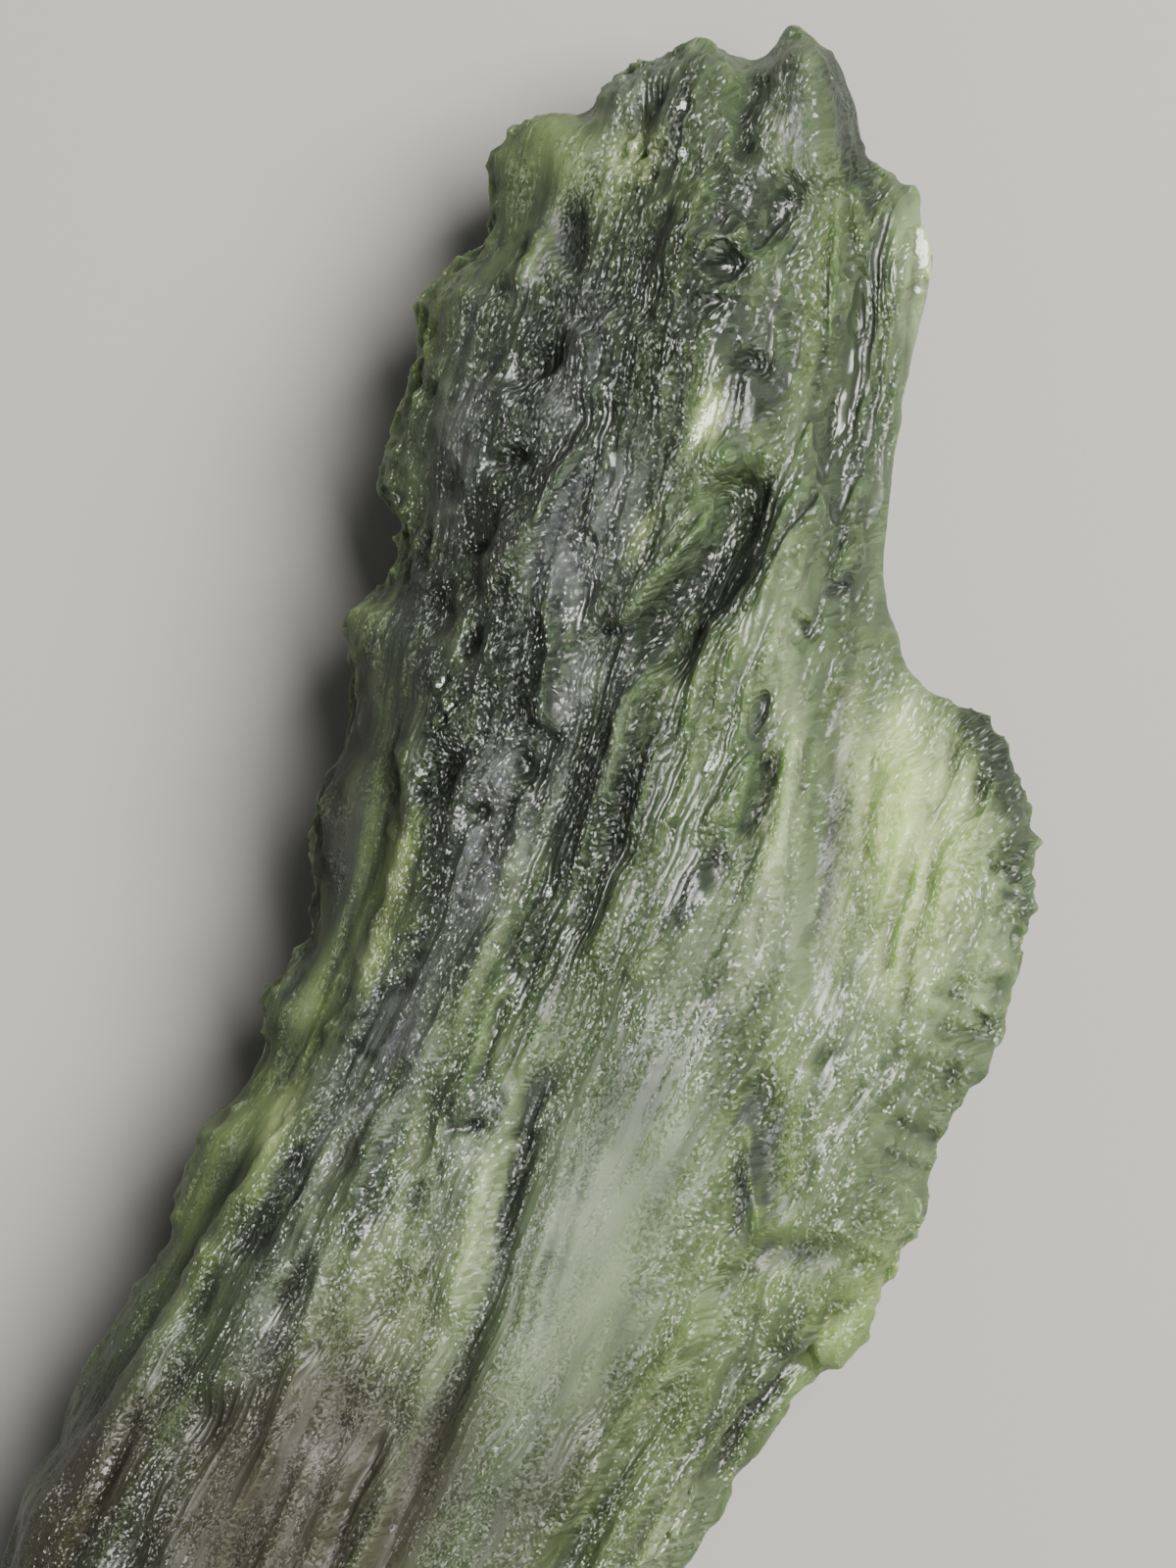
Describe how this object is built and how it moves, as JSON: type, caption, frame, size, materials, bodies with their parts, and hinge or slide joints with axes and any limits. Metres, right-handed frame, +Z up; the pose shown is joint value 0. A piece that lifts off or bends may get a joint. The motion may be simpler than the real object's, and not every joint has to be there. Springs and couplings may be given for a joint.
{
  "type": "moldavite",
  "caption": "Long, flattened piece of green natural glass with flow ribs, etched pits, a thin side wing and frayed margins, lying on a small flat spot.",
  "frame": {"origin": "middle of the bounding box, on the ground plane that the flat spot lies on", "axes": "+Y along the piece towards its narrow end, +X towards the side with the thin wing, +Z up out of the carved face"},
  "size_m": [0.0294, 0.0502, 0.0108],
  "materials": {
    "moldavite_glass": "etched natural glass, deep green and see-through where it is thin, satin with many small bright facets"
  },
  "bodies": {
    "root": {"moldavite": "moldavite_glass"}
  },
  "joints": []
}
